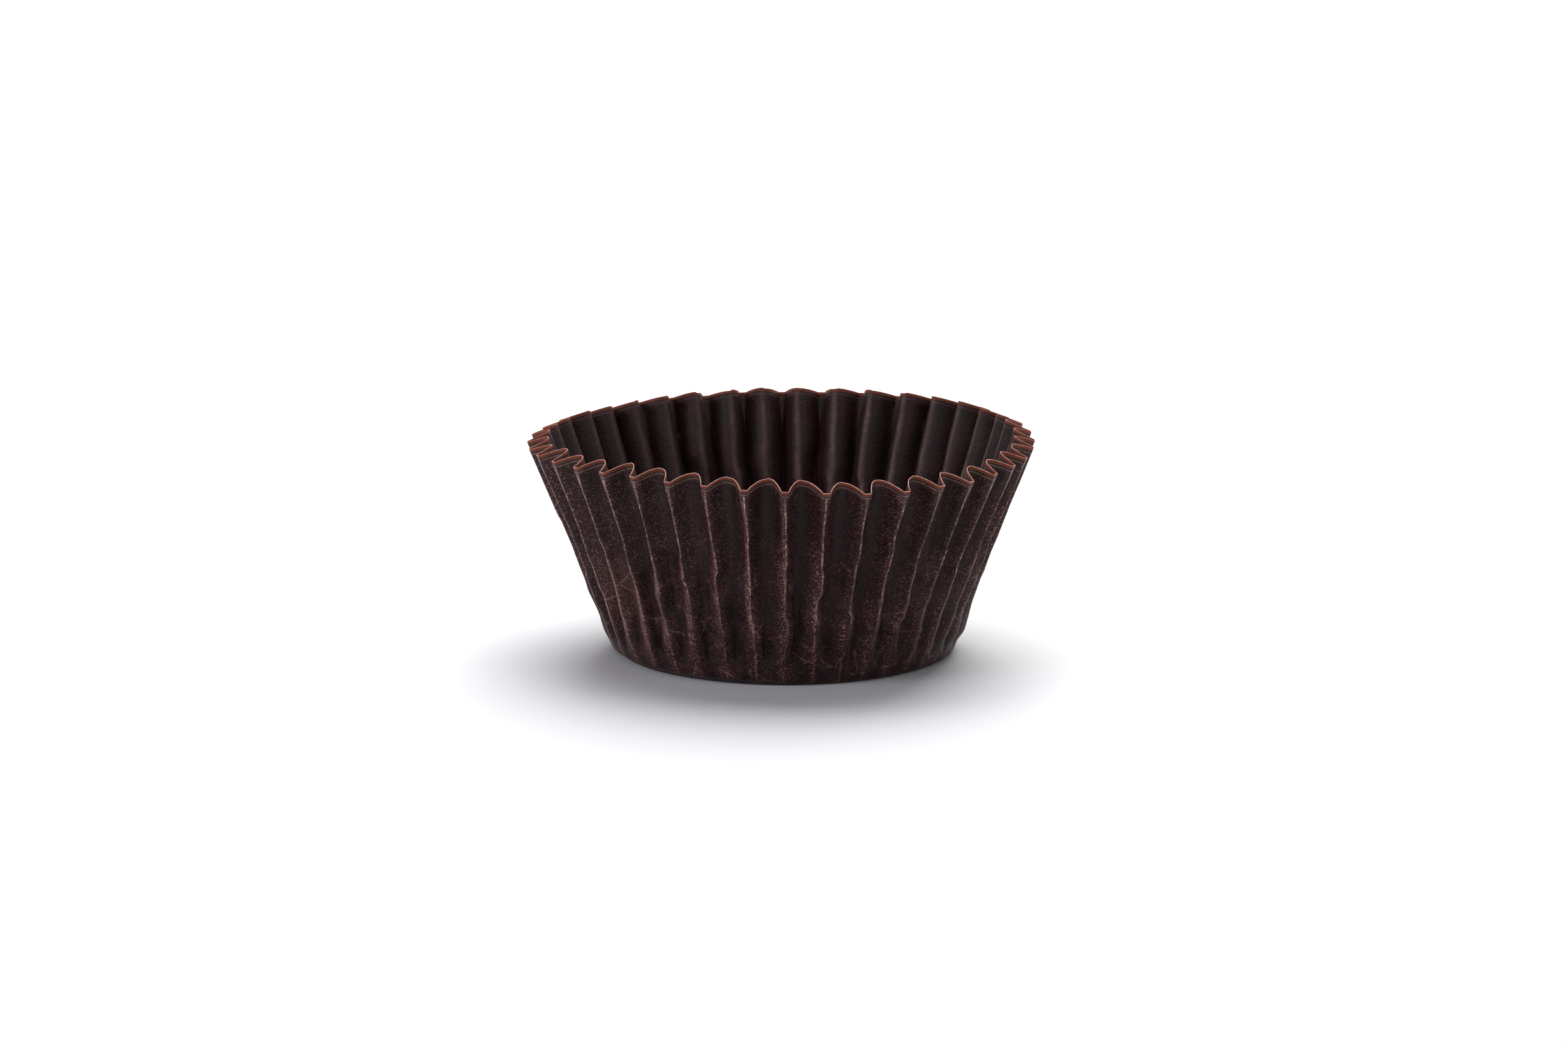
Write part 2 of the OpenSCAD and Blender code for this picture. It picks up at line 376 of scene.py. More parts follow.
    # How much handling has knocked the folds about: most at half height and a little lower, and
    # least at the foot and near the rim
    kink_start = add(tree, MAP_RANGE, {"Value": rise, "From Min": 0.05, "From Max": 0.3},
                     interpolation_type="SMOOTHSTEP")
    kink_end = add(tree, MAP_RANGE, {"Value": rise, "From Min": 0.5, "From Max": 0.85,
                                     "To Min": 1.0, "To Max": 0.2}, interpolation_type="SMOOTHSTEP")
    kinked = add(tree, MATH, {0: kink_start, 1: kink_end}, operation="MULTIPLY")

    # Each outer fold and each inner crest is knocked aside and in or out, and a flank follows both
    # its ends
    knocks = []
    shifts = []
    for fold_size, crest_size, knots, seed in (("Fold kinks", "Crest kinks", 7.0, 1),
                                               ("Fold knocks", "Fold knocks", 6.0, 2)):
        own_seed = add(tree, WHOLE_MATH, {0: given["Seed"], 1: seed}, operation="ADD")
        ends = []
        for which, size in ((near_fold, fold_size), (crest_id, crest_size)):
            shift = add(tree, "GeometryNodeGroup", {"Fold": which, "Rise": rise, "Knots": knots,
                                                    "Seed": own_seed}, node_tree=wander)
            shifts.append(shift)
            ends.append(add(tree, MATH, {0: shift, 1: given[size]}, operation="MULTIPLY"))
        knock = add(tree, MIX, {"Factor": flank, "A": ends[0], "B": ends[1]})
        knocks.append(add(tree, MATH, {0: knock, 1: kinked}, operation="MULTIPLY"))
    aside, knock_out = knocks
    fold_jog = shifts[0].node.outputs["Jog"]
    jog = add(tree, MATH, {0: fold_jog, 1: kinked}, operation="MULTIPLY")

    # Inner crests lean: by chance to either side, most at the rim, and all to one side low down
    skew = add(tree, RANDOM, {2: -1.0, "ID": skew_id, "Seed": given["Seed"]}, 1)
    skew = add(tree, MATH, {0: skew, 1: given["Crest skew"]}, operation="MULTIPLY")
    skew_share = add(tree, MATH, {0: flank, 1: rise}, operation="MULTIPLY")
    aside = add(tree, MATH, {0: skew, 1: skew_share, 2: aside}, operation="MULTIPLY_ADD")
    leaning = add(tree, MAP_RANGE, {"Value": rise, "From Min": 0.3, "From Max": 0.7, "To Min": 1.0,
                                    "To Max": 0.0}, interpolation_type="SMOOTHSTEP")
    for share in (fade, flank, given["Groove lean"]):
        leaning = add(tree, MATH, {0: leaning, 1: share}, operation="MULTIPLY")
    aside = add(tree, MATH, {0: aside, 1: leaning}, operation="SUBTRACT")
    aside = add(tree, MATH, {0: aside, 1: cup_r}, operation="DIVIDE")
    bearing = add(tree, MATH, {0: bearing, 1: aside}, operation="ADD")

    # Depth at this point: the crest is a round arch, softer low on the wall, the flutes are not
    # quite equally deep, and the flat outer folds swell out a little low down
    from_crest = add(tree, MATH, {0: 1.0, 1: flank}, operation="SUBTRACT")
    arch = add(tree, MATH, {0: from_crest, 1: given["Crest arch"]}, operation="POWER")
    arch = add(tree, MATH, {0: 1.0, 1: arch}, operation="SUBTRACT")
    soft = add(tree, MAP_RANGE, {"Value": flank}, interpolation_type="SMOOTHSTEP")
    crisp = add(tree, MAP_RANGE, {"Value": rise, "From Max": 0.6})
    profile = add(tree, MIX, {"Factor": crisp, "A": soft, "B": arch})
    uneven = add(tree, RANDOM, {2: -1.0, "ID": crest_id, "Seed": given["Seed"]}, 1)
    uneven = add(tree, MATH, {0: uneven, 1: given["Uneven depth"], 2: 1.0},
                 operation="MULTIPLY_ADD")
    depth = add(tree, MATH, {0: row_depth, 1: profile}, operation="MULTIPLY")
    depth = add(tree, MATH, {0: depth, 1: uneven}, operation="MULTIPLY")
    off_middle = add(tree, MATH, {0: on_fold, 1: on_fold}, operation="MULTIPLY")
    swelling = add(tree, MATH, {0: 1.0, 1: off_middle}, operation="SUBTRACT")
    for share in (fade, low, given["Land swell"]):
        swelling = add(tree, MATH, {0: swelling, 1: share}, operation="MULTIPLY")
    depth = add(tree, MATH, {0: depth, 1: swelling}, operation="SUBTRACT")

    # The rim is pushed out of round and stands taller on one side, and its folds are a little
    # uneven
    push = None
    for size, direction, waves in (("Oval", "Oval direction", 2.0), ("Egg", "Egg direction", 3.0)):
        off = add(tree, MATH, {0: bearing, 1: given[direction]}, operation="SUBTRACT")
        off = add(tree, MATH, {0: off, 1: waves}, operation="MULTIPLY")
        off = add(tree, MATH, {0: off}, operation="COSINE")
        off = add(tree, MATH, {0: off, 1: given[size]}, operation="MULTIPLY")
        push = off if push is None else add(tree, MATH, {0: push, 1: off}, operation="ADD")
    out = add(tree, MATH, {0: push, 1: rise}, operation="MULTIPLY")
    down = add(tree, MATH, {0: out, 1: tan_lean}, operation="MULTIPLY")
    jitter = add(tree, RANDOM, {2: -1.0, "ID": near_fold, "Seed": given["Seed"]}, 1)
    to_taller = add(tree, MATH, {0: bearing, 1: given["Off centre direction"]},
                    operation="SUBTRACT")
    to_taller = add(tree, MATH, {0: to_taller}, operation="COSINE")
    taller = add(tree, MATH, {0: to_taller, 1: given["Off centre"]}, operation="MULTIPLY")
    uneven_rim = add(tree, MATH, {0: jitter, 1: given["Rim jitter"], 2: taller},
                     operation="MULTIPLY_ADD")
    reach = add(tree, MATH, {0: uneven_rim, 1: rise}, operation="MULTIPLY")

    # The point in the cup
    inward = add(tree, MATH, {0: depth, 1: sin_turn}, operation="MULTIPLY")
    upward = add(tree, MATH, {0: depth, 1: cos_turn}, operation="MULTIPLY")
    point_r = add(tree, MATH, {0: row_r, 1: inward}, operation="SUBTRACT")
    point_r = add(tree, MATH, {0: reach, 1: cos_turn, 2: point_r}, operation="MULTIPLY_ADD")
    point_r = add(tree, MATH, {0: point_r, 1: out}, operation="ADD")
    point_r = add(tree, MATH, {0: point_r, 1: knock_out}, operation="ADD")
    point_z = add(tree, MATH, {0: row_z, 1: upward}, operation="ADD")
    point_z = add(tree, MATH, {0: reach, 1: sin_turn, 2: point_z}, operation="MULTIPLY_ADD")
    point_z = add(tree, MATH, {0: point_z, 1: down}, operation="SUBTRACT")
    places = []
    for turned, radius, height in ((bearing, point_r, point_z), (flat_turn, row_q, 0.0)):
        east = add(tree, MATH, {0: turned}, operation="SINE")
        north = add(tree, MATH, {0: turned}, operation="COSINE")
        minus_r = add(tree, MATH, {0: radius, 1: -1.0}, operation="MULTIPLY")
        east = add(tree, MATH, {0: east, 1: radius}, operation="MULTIPLY")
        north = add(tree, MATH, {0: north, 1: minus_r}, operation="MULTIPLY")
        places.append(add(tree, "ShaderNodeCombineXYZ", {"X": east, "Y": north, "Z": height}))
    in_cup, in_sheet = places

    # What the paper's finish follows: place in the flat sheet, shares of the way up the wall and
    # round the foot, distance from the fold and from the crest, side of the fold, and its jogs
    paper = add(tree, STORE, {"Geometry": grid, "Name": "sheet", "Value": in_sheet},
                data_type="FLOAT_VECTOR", domain="POINT")
    for name, value in (("rise", rise), ("off fold", off_fold), ("off crest", off_crest),
                        ("side", side), ("jog", jog), ("foot", foot_share)):
        paper = add(tree, STORE, {"Geometry": paper, "Name": name, "Value": value}, domain="POINT")
    paper = add(tree, "GeometryNodeSetPosition", {"Geometry": paper, "Position": in_cup})
    paper = add(tree, "GeometryNodeMergeByDistance", {"Geometry": paper, "Distance": MERGE})

    # Crumples low on the wall, in patches 11 mm across with waves of 5 mm, a foot that is slack on
    # one side, and a base that cockles up off the table in waves of 14 mm
    kept_rise = add(tree, STORED, {"Name": "rise"}, data_type="FLOAT")
    kept_foot = add(tree, STORED, {"Name": "foot"}, data_type="FLOAT")
    kept_sheet = add(tree, STORED, {"Name": "sheet"}, data_type="FLOAT_VECTOR")
    place = add(tree, "GeometryNodeInputPosition")
    facing = add(tree, "GeometryNodeInputNormal")
    crease = add(tree, "ShaderNodeTexVoronoi", {"Vector": kept_sheet, "Scale": 1 / CRUMPLE_SIZE})
    crease = add(tree, MAP_RANGE, {"Value": crease, "From Max": 0.8, "To Min": -0.5, "To Max": 0.5},
                 clamp=False)
    patch = add(tree, NOISE, {"Vector": place, "Scale": 1 / (11 * MM), "Detail": 1.0})
    patch = add(tree, MAP_RANGE, {"Value": patch, "From Min": 0.45, "From Max": 0.62,
                                  "To Min": 0.15}, interpolation_type="SMOOTHSTEP")
    for share in (patch, given["Creasing"]):
        crease = add(tree, MATH, {0: crease, 1: share}, operation="MULTIPLY")
    wavy = add(tree, NOISE, {"Vector": kept_sheet, "Scale": 1 / (5 * MM), "Detail": 2.0})
    wavy = add(tree, MATH, {0: wavy, 1: -0.5}, operation="ADD")
    wavy = add(tree, MATH, {0: wavy, 1: 2.0}, operation="MULTIPLY")
    crumple = add(tree, MATH, {0: wavy, 1: given["Waviness"], 2: crease}, operation="MULTIPLY_ADD")
    crumpled = add(tree, MAP_RANGE, {"Value": kept_rise, "From Min": 0.35, "From Max": 0.7,
                                     "To Min": 1.0, "To Max": 0.15},
                   interpolation_type="SMOOTHSTEP")
    off_foot = add(tree, MAP_RANGE, {"Value": kept_rise, "From Max": 0.1},
                   interpolation_type="SMOOTHSTEP")
    for share in (crumpled, off_foot):
        crumple = add(tree, MATH, {0: crumple, 1: share}, operation="MULTIPLY")
    round_foot = add(tree, MATH, {0: kept_foot, 1: math.pi}, operation="MULTIPLY")
    round_foot = add(tree, MATH, {0: round_foot}, operation="SINE")
    east_side = add(tree, "ShaderNodeSeparateXYZ", {"Vector": place}, 0)
    east_side = add(tree, MATH, {0: east_side, 1: given["Base radius"]}, operation="DIVIDE")
    slack = add(tree, MATH, {0: east_side, 1: 0.0}, operation="MINIMUM")
    for share in (given["Foot slack"], round_foot):
        slack = add(tree, MATH, {0: slack, 1: share}, operation="MULTIPLY")
    move = add(tree, MATH, {0: crumple, 1: slack}, operation="ADD")
    move = add(tree, VECTOR_MATH, {0: facing, "Scale": move}, operation="SCALE")
    from_centre = add(tree, VECTOR_MATH, {0: kept_sheet}, 1, operation="LENGTH")
    on_base = add(tree, MAP_RANGE, {"Value": from_centre, "From Min": FLAT_R,
                                    "From Max": FLAT_R * 0.7}, interpolation_type="SMOOTHSTEP")
    cockle = add(tree, NOISE, {"Vector": kept_sheet, "Scale": 1 / (14 * MM)})
    for share in (on_base, given["Base cockle"]):
        cockle = add(tree, MATH, {0: cockle, 1: share}, operation="MULTIPLY")
    lift = add(tree, "ShaderNodeCombineXYZ", {"Z": cockle})
    move = add(tree, VECTOR_MATH, {0: move, 1: lift}, operation="ADD")
    paper = add(tree, "GeometryNodeSetPosition", {"Geometry": paper, "Offset": move})

    # The paper's thickness: a second skin inside the first, and the cut edge between them. The
    # fold that the inner skin shows is the crest.
    minus_t = add(tree, MATH, {0: given["Paper thickness"], 1: -1.0}, operation="MULTIPLY")
    skin = add(tree, "GeometryNodeExtrudeMesh", {"Mesh": paper, "Offset Scale": minus_t,
                                                 "Individual": False}).node.outputs
    off_crest = add(tree, STORED, {"Name": "off crest"}, data_type="FLOAT")
    inner = add(tree, STORE, {"Geometry": skin["Mesh"], "Selection": skin["Top"],
                              "Name": "off fold", "Value": off_crest}, domain="POINT")
    inner = add(tree, STORE, {"Geometry": inner, "Selection": skin["Top"], "Name": "inside",
                              "Value": 1.0}, domain="POINT")
    inner = add(tree, STORE, {"Geometry": inner, "Name": "cut edge", "Value": skin["Side"]},
                data_type="BOOLEAN", domain="FACE")
    inner = add(tree, "GeometryNodeFlipFaces", {"Mesh": inner})
    both = add(tree, "GeometryNodeJoinGeometry", {"Geometry": paper})
    tree.links.new(inner, both.node.inputs["Geometry"])
    shell = add(tree, "GeometryNodeMergeByDistance", {"Geometry": both, "Distance": MERGE})
    shell = add(tree, "GeometryNodeSetShadeSmooth", {"Geometry": shell})
    shell = add(tree, "GeometryNodeRealizeInstances", {"Geometry": shell})
    edge = add(tree, STORED, {"Name": "cut edge"}, data_type="BOOLEAN")
    shell = add(tree, "GeometryNodeSetMaterial", {"Geometry": shell, "Material": given["Paper"]})
    shell = add(tree, "GeometryNodeSetMaterial", {"Geometry": shell, "Selection": edge,
                                                  "Material": given["Cut edge"]})
    tree.links.new(shell, result["Geometry"])
    return tree


def new_material(name):
    """An empty material, its tree, and the sockets of its surface shader."""
    material = bpy.data.materials.new(name)
    material.use_nodes = True
    tree = material.node_tree
    surface = tree.nodes["Principled BSDF"].inputs
    return material, tree, surface


# Greaseproof paper: pulp beaten until the sheet is dense, dyed through and pressed between rollers.
# It is matt with a faint waxy sheen. Pale fibres show in it as flecks, and where it has been folded
# or rubbed its surface is broken and paler. Some of its colour is painted light and shade: streaks
# up the flutes, darker grooves, a lighter left side, and the band and lines below the rim.
def greaseproof_paper():
    material, tree, surface = new_material("greaseproof_paper")
    place = add(tree, "ShaderNodeTexCoord", output="Object")
    sheet = add(tree, "ShaderNodeAttribute", output="Vector", attribute_name="sheet")
    rise, off_fold, off_crest, side, jog, inside, off_base = (
        add(tree, "ShaderNodeAttribute", output="Fac", attribute_name=name)
        for name in ("rise", "off fold", "off crest", "side", "jog", "inside", "foot"))
    low = add(tree, MAP_RANGE, {"Value": rise, "From Min": 0.8, "From Max": 0.2},
              interpolation_type="SMOOTHSTEP")

    # Clouding of the pulp, 4 mm across, and mottling of the dye, 0.9 mm across
    cloud = add(tree, NOISE, {"Vector": sheet, "Scale": 1 / (4 * MM), "Detail": 3.0,
                              "Roughness": 0.6})
    mottle = add(tree, NOISE, {"Vector": sheet, "Scale": 1 / (0.9 * MM), "Detail": 4.0,
                               "Roughness": 0.75})

    # Painted shading: soft lighter and darker streaks up the flutes, 14 mm long and up to 1.3 mm
    # wide at the rim, that stand for the light and shade of shallow creases
    spoke = add(tree, VECTOR_MATH, {0: sheet}, operation="NORMALIZE")
    spoke = add(tree, VECTOR_MATH, {0: spoke, "Scale": SHEET_R / (1.3 * MM)}, operation="SCALE")
    up = add(tree, MATH, {0: rise, 1: WALL_LEN / (14 * MM)}, operation="MULTIPLY")
    up = add(tree, "ShaderNodeCombineXYZ", {"Z": up})
    spoke = add(tree, VECTOR_MATH, {0: spoke, 1: up}, operation="ADD")
    shading_streak = add(tree, NOISE, {"Vector": spoke, "Scale": 1.0, "Detail": 1.0})
    shading_streak = add(tree, MIX, {"Factor": off_base, "A": 0.5, "B": shading_streak})

    # Fibres are 1 to 2 mm long and 0.02 mm wide and lie mostly round the wall: short stretches of
    # them come to the surface, and they are drawn 0.15 mm wide, so that they show
    round_wall = add(tree, "ShaderNodeMapping",
                     {"Vector": place,
                      "Scale": (1 / (0.45 * MM), 1 / (0.45 * MM), 1 / (0.17 * MM))})
    strand = add(tree, NOISE, {"Vector": round_wall, "Scale": 1.0, "Detail": 1.0,
                               "Distortion": 1.2})
    fibres = add(tree, MAP_RANGE, {"Value": strand, "From Min": 0.6, "From Max": 0.7})

    # Specks of lint and rubbed fibre, 0.05 mm across and drawn 0.15 mm, a few of them bright
    lint = add(tree, "ShaderNodeTexVoronoi", {"Vector": sheet, "Scale": 1 / (0.24 * MM)},
               voronoi_dimensions="2D").node.outputs
    lint_tone = add(tree, "ShaderNodeSeparateColor", {"Color": lint["Color"]})
    specks = add(tree, MAP_RANGE, {"Value": lint["Distance"], "From Min": 0.25, "From Max": 0.5,
                                   "To Min": 1.0, "To Max": 0.0})
    bright = add(tree, MATH, {0: lint_tone, 1: 3.5}, operation="POWER")
    specks = add(tree, MATH, {0: specks, 1: bright}, operation="MULTIPLY")
    fibres = add(tree, MATH, {0: fibres, 1: 0.35}, operation="MULTIPLY")
    flecks = add(tree, MATH, {0: fibres, 1: specks}, operation="MAXIMUM")

    # Wear comes in ragged patches, crossed by the painted shading streaks. There is more of it on
    # the left than on the right, which also paints the left side lighter, as lit from there, and
    # less down in the grooves, which is painted shade. It is most where the paper has been pinched.
    patch = add(tree, MAP_RANGE, {"Value": cloud, "From Min": 0.35, "From Max": 0.65,
                                  "To Min": 0.6})
    east = add(tree, "ShaderNodeSeparateXYZ", {"Vector": place})
    rubbed_and_lit_left = add(tree, MAP_RANGE, {"Value": east, "From Min": -25 * MM, "From Max": 25 * MM,
                                   "To Min": 1.4, "To Max": 0.8})
    shading_streaked = add(tree, MAP_RANGE, {"Value": shading_streak, "From Min": 0.35, "From Max": 0.65,
                                     "To Min": 0.6, "To Max": 1.4})
    for share in (rubbed_and_lit_left, shading_streaked):
        patch = add(tree, MATH, {0: patch, 1: share}, operation="MULTIPLY")
    patch = add(tree, MATH, {0: patch, 1: 1.5}, operation="MINIMUM")
    # Painted shade: near each inner crest, down in the grooves, the wear thins and the dye darkens
    groove_shade_and_shelter = add(tree, MAP_RANGE, {"Value": off_crest, "From Min": 0.2 * MM,
                                      "From Max": 1.7 * MM, "To Min": 0.35})
    groove_shade_and_shelter = add(tree, MIX, {"Factor": off_base, "A": 1.0, "B": groove_shade_and_shelter})
    patch = add(tree, MATH, {0: patch, 1: groove_shade_and_shelter}, operation="MULTIPLY")
    off_pinch = add(tree, VECTOR_MATH, {0: place, 1: PINCHED_AT}, 1, operation="DISTANCE")
    pinched = add(tree, MAP_RANGE, {"Value": off_pinch, "From Min": 9 * MM, "From Max": 2 * MM},
                  interpolation_type="SMOOTHSTEP")
    patch = add(tree, MATH, {0: pinched, 1: 0.6, 2: patch}, operation="MULTIPLY_ADD")

    # It lies along the folds, and reaches further on one side of each fold, the left as seen from
    # the front, where it is partly painted light that makes the lit flank paler
    reach = add(tree, MAP_RANGE, {"Value": side, "From Min": -0.4, "From Max": 0.4,
                                  "To Min": 1.4 * MM, "To Max": 0.3 * MM})
    worn = add(tree, MAP_RANGE, {"Value": off_fold, "From Max": reach, "To Min": 1.0,
                                 "To Max": 0.0}, interpolation_type="SMOOTHSTEP")
    for share in (patch, off_base):
        worn = add(tree, MATH, {0: worn, 1: share}, operation="MULTIPLY")

    # Dye: a little uneven and crossed by the painted shading streaks, darker in the grooves as
    # painted shade, warmer low on the wall and redder where worn, both more on the left, which
    # paints that side lighter
    tone = add(tree, MATH, {0: mottle, 1: shading_streak}, operation="ADD")
    tone = add(tree, MAP_RANGE, {"Value": tone, "From Min": 0.75, "From Max": 1.25})
    tone = add(tree, MATH, {0: tone, 1: groove_shade_and_shelter}, operation="MULTIPLY")
    dyed = add(tree, MIX, {"Factor": tone, "A": colour("#180a0c"), "B": colour("#31181a")},
               "Result", data_type="RGBA")
    warm_share = add(tree, MAP_RANGE, {"Value": cloud, "From Min": 0.46, "From Max": 0.62})
    # Painted light: the warm tint and the wear grow towards the left, so that side reads lighter
    rubbed_and_lit_left_more = add(tree, MATH, {0: rubbed_and_lit_left, 1: 2.0}, operation="POWER")
    for share in (low, 0.5, rubbed_and_lit_left_more):
        warm_share = add(tree, MATH, {0: warm_share, 1: share}, operation="MULTIPLY")
    worn_share = add(tree, MATH, {0: worn, 1: 0.17}, operation="MULTIPLY")
    worn_share = add(tree, MATH, {0: worn_share, 1: rubbed_and_lit_left_more}, operation="MULTIPLY")
    pinched_share = add(tree, MAP_RANGE, {"Value": mottle, "From Min": 0.35, "From Max": 0.65,
                                          "To Min": 0.15, "To Max": 0.55})
    pinched_share = add(tree, MATH, {0: pinched_share, 1: pinched}, operation="MULTIPLY")

    # Flecks, thickest where the paper is worn. The inside is hardly handled.
    fleck_share = add(tree, MATH, {0: low, 1: 0.03, 2: 0.4}, operation="MULTIPLY_ADD")
    fleck_share = add(tree, MATH, {0: worn, 1: 0.8, 2: fleck_share}, operation="MULTIPLY_ADD")
    handled = add(tree, MAP_RANGE, {"Value": inside, "To Min": 1.0, "To Max": 0.15})
    for share in (patch, flecks, handled):
        fleck_share = add(tree, MATH, {0: fleck_share, 1: share}, operation="MULTIPLY")

    # The surface is broken along the fold itself, in a thin line that fades towards the foot and is
    # broad and soft inside, where it lightens the crests partly as painted highlight
    ragged = add(tree, MATH, {0: lint_tone, 1: 0.2 * MM, 2: -0.1 * MM}, operation="MULTIPLY_ADD")
    ragged = add(tree, MATH, {0: ragged, 1: off_fold}, operation="ADD")
    soft = add(tree, MAP_RANGE, {"Value": inside, "To Min": 0.15 * MM, "To Max": 0.9 * MM})
    line = add(tree, MAP_RANGE, {"Value": ragged, "From Min": 0.05 * MM, "From Max": soft,
                                 "To Min": 1.0, "To Max": 0.0})
    line_share = add(tree, MAP_RANGE, {"Value": cloud, "From Min": 0.35, "From Max": 0.6,
                                       "To Min": 0.55, "To Max": 1.0})
    least = add(tree, MAP_RANGE, {"Value": inside, "To Min": 0.08, "To Max": 0.8})
    dotted = add(tree, MATH, {0: lint_tone, 1: 0.4, 2: mottle}, operation="MULTIPLY_ADD")
    dotted = add(tree, MAP_RANGE, {"Value": dotted, "From Min": 0.45, "From Max": 0.95,
                                   "To Min": least})

    # The line is broken up into grains 0.5 mm long, and hardly shows inside, least at the left,
    # where its fading is painted shade
    grains = add(tree, "ShaderNodeTexVoronoi", {"Vector": sheet, "Scale": 1 / (0.5 * MM)}, "Color",
                 voronoi_dimensions="2D")
    grains = add(tree, "ShaderNodeSeparateColor", {"Color": grains})
    least_grain = add(tree, MAP_RANGE, {"Value": inside, "To Min": 0.25, "To Max": 1.0})
    grains = add(tree, MAP_RANGE, {"Value": grains, "From Min": 0.2, "From Max": 0.9,
                                   "To Min": least_grain, "To Max": 1.4})
    faded = add(tree, MAP_RANGE, {"Value": rise, "From Min": 0.15, "From Max": 0.5, "To Min": 0.1})
    # Painted shade: the line inside fades towards the left
    inside_faint_and_left_shade = add(tree, MAP_RANGE, {"Value": east, "From Min": -22 * MM, "From Max": 5 * MM,
                                   "To Min": 0.02, "To Max": 0.14})
    inside_faint_and_left_shade = add(tree, MAP_RANGE, {"Value": inside, "To Min": 1.0, "To Max": inside_faint_and_left_shade})
    for share in (dotted, grains, faded, off_base, inside_faint_and_left_shade):
        line_share = add(tree, MATH, {0: line_share, 1: share}, operation="MULTIPLY")
    line = add(tree, MATH, {0: line, 1: line_share}, operation="MULTIPLY")

    # Where a fold jogs, single fibres are torn up beside it
    broken = add(tree, MAP_RANGE, {"Value": off_fold, "From Min": 0.3 * MM, "From Max": 0.8 * MM,
                                   "To Min": 0.35, "To Max": 0.0})
    for share in (jog, fibres):
        broken = add(tree, MATH, {0: broken, 1: share}, operation="MULTIPLY")
    line = add(tree, MATH, {0: line, 1: broken}, operation="MAXIMUM")

    # Crumples low on the wall leave fine pale creases, most of them where the paper has been
    # pinched, and broken off elsewhere
    crease = add(tree, "ShaderNodeTexVoronoi", {"Vector": sheet, "Scale": 1 / CRUMPLE_SIZE},
                 feature="DISTANCE_TO_EDGE", voronoi_dimensions="2D")
    most = add(tree, MATH, {0: pinched, 1: 0.15, 2: 0.25}, operation="MULTIPLY_ADD")
    crease = add(tree, MAP_RANGE, {"Value": crease, "From Min": 0.01, "From Max": 0.03,
                                   "To Min": most, "To Max": 0.0})
    crumpled = add(tree, MAP_RANGE, {"Value": cloud, "From Min": 0.5, "From Max": 0.6})
    crumpled = add(tree, MATH, {0: crumpled, 1: pinched}, operation="MAXIMUM")
    for share in (crumpled, low, dotted, handled, off_base):
        crease = add(tree, MATH, {0: crease, 1: share}, operation="MULTIPLY")
    line = add(tree, MATH, {0: line, 1: crease}, operation="MAXIMUM")

    # Below the cut edge: a red-brown band 0.4 mm wide, painted light shining through the thin
    # paper, and fine lines
    # 0.32 mm apart, drawn 0.5 mm apart so that they show: painted dark shade lines with pale lit
    # edges between them
    below = add(tree, MATH, {0: rise, 1: -WALL_LEN, 2: WALL_LEN}, operation="MULTIPLY_ADD")
    below = add(tree, MATH, {0: mottle, 1: 0.12 * MM, 2: below}, operation="MULTIPLY_ADD")
    # Painted shade lines, with pale painted highlights between them
    shade_and_highlight_rings = add(tree, MATH, {0: below, 1: 4 * math.pi / MM, 2: -3.6 * math.pi},
                operation="MULTIPLY_ADD")
    shade_and_highlight_rings = add(tree, MATH, {0: shade_and_highlight_rings}, operation="COSINE")
    shade_and_highlight_rings = add(tree, MAP_RANGE, {"Value": shade_and_highlight_rings, "From Min": -1.0})
    shade_and_highlight_dots = add(tree, MAP_RANGE, {"Value": dotted, "To Min": 0.4})
    shade_and_highlight_rings = add(tree, MATH, {0: shade_and_highlight_rings, 1: shade_and_highlight_dots}, operation="MULTIPLY")
    shade_and_highlight_tone = add(tree, MIX, {"Factor": shade_and_highlight_rings, "A": colour("#0c0506"), "B": colour("#a87e74")},
                    "Result", data_type="RGBA")
    shade_and_highlight_share = add(tree, MAP_RANGE, {"Value": below, "From Min": 0.85 * MM, "From Max": 1.4 * MM,
                                       "To Min": 0.9, "To Max": 0.0})
    seen = add(tree, MAP_RANGE, {"Value": inside, "To Min": 1.0, "To Max": 0.25})
    shade_and_highlight_share = add(tree, MATH, {0: shade_and_highlight_share, 1: seen}, operation="MULTIPLY")
    # Painted light: the red-brown band glows as if lit through the paper
    rim_glow = add(tree, MAP_RANGE, {"Value": below, "From Min": 0.42 * MM, "From Max": 0.52 * MM,
                                    "To Min": 1.0, "To Max": 0.0})
    rim_glow_tone = add(tree, MAP_RANGE, {"Value": below, "From Min": 0.1 * MM,
                                        "From Max": 0.35 * MM})
    rim_glow_tone = add(tree, MIX, {"Factor": rim_glow_tone, "A": colour("#b06048"),
                                  "B": colour("#7e3c2a")}, "Result", data_type="RGBA")

    # Each of these lies over the dye and over those before it
    for share, tint in ((warm_share, colour("#3f2425")), (worn_share, colour("#6e3c36")),
                        (pinched_share, colour("#6e4c48")), (fleck_share, colour("#ce9c95")),
                        (line, colour("#ffcfc4")), (shade_and_highlight_share, shade_and_highlight_tone), (rim_glow, rim_glow_tone)):
        dyed = add(tree, MIX, {"Factor": share, "A": dyed, "B": tint}, "Result", data_type="RGBA")

    # The waxy sheen is broken where fibres stand up
    sheen = add(tree, MAP_RANGE, {"Value": fleck_share, "To Min": 0.45, "To Max": 0.75})
    height = add(tree, MATH, {0: mottle, 1: 4.0, 2: flecks}, operation="MULTIPLY_ADD")
    relief = add(tree, "ShaderNodeBump", {"Strength": 0.7, "Distance": 0.04 * MM, "Height": height})
    tree.links.new(dyed, surface["Base Color"])
    tree.links.new(sheen, surface["Roughness"])
    tree.links.new(relief, surface["Normal"])
    surface["Specular IOR Level"].default_value = 0.22
    surface["IOR"].default_value = 1.47
    return material


